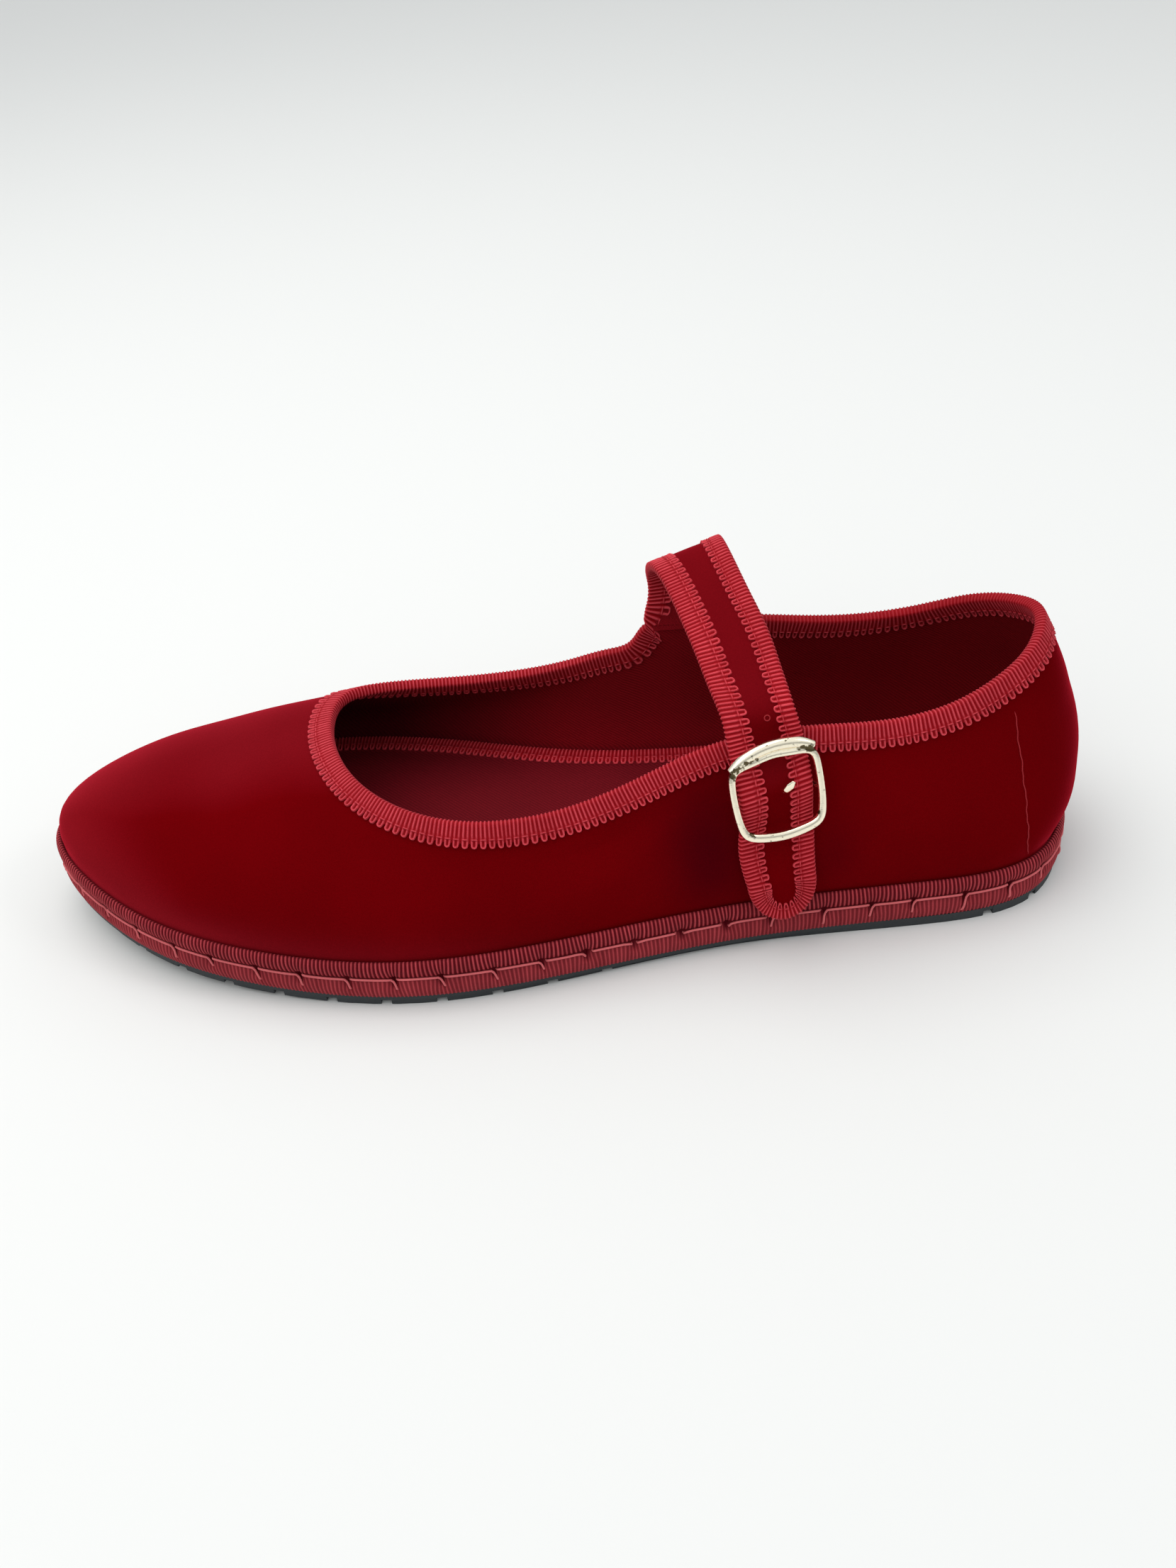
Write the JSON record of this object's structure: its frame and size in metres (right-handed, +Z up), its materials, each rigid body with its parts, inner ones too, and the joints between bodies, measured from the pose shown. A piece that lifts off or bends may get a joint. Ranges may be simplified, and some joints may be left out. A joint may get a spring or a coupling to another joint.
{
  "type": "ballet flat",
  "caption": "Low velvet flat shoe: hollow round-toed upper, taped topline, instep strap with a metal pin buckle, thin tape-edged sole with a notched rubber tread.",
  "frame": {"origin": "centre of the whole shoe's box, on the floor it stands on", "axes": "+Z up from the floor; the toe points along -X and the heel along +X; the outer (lateral, buckle) side faces -Y and the inner (medial) side +Y"},
  "size_m": [0.2598, 0.0966, 0.0809],
  "materials": {
    "velvet": "short-pile velvet, deep red",
    "tape": "ribbed grosgrain tape, red",
    "edge_tape": "ribbed tape, wine red, hand stitched",
    "lining": "twill, dark wine red",
    "rubber": "matt, dark grey",
    "gold": "polished, pale gold"
  },
  "bodies": {
    "root": {"outsole": "rubber", "midsole": "edge_tape", "insole": "lining", "upper": "velvet", "topline_tape": "tape", "strap": "velvet", "strap_tape": "tape", "buckle": "gold", "keeper_loop": "tape"}
  },
  "joints": []
}
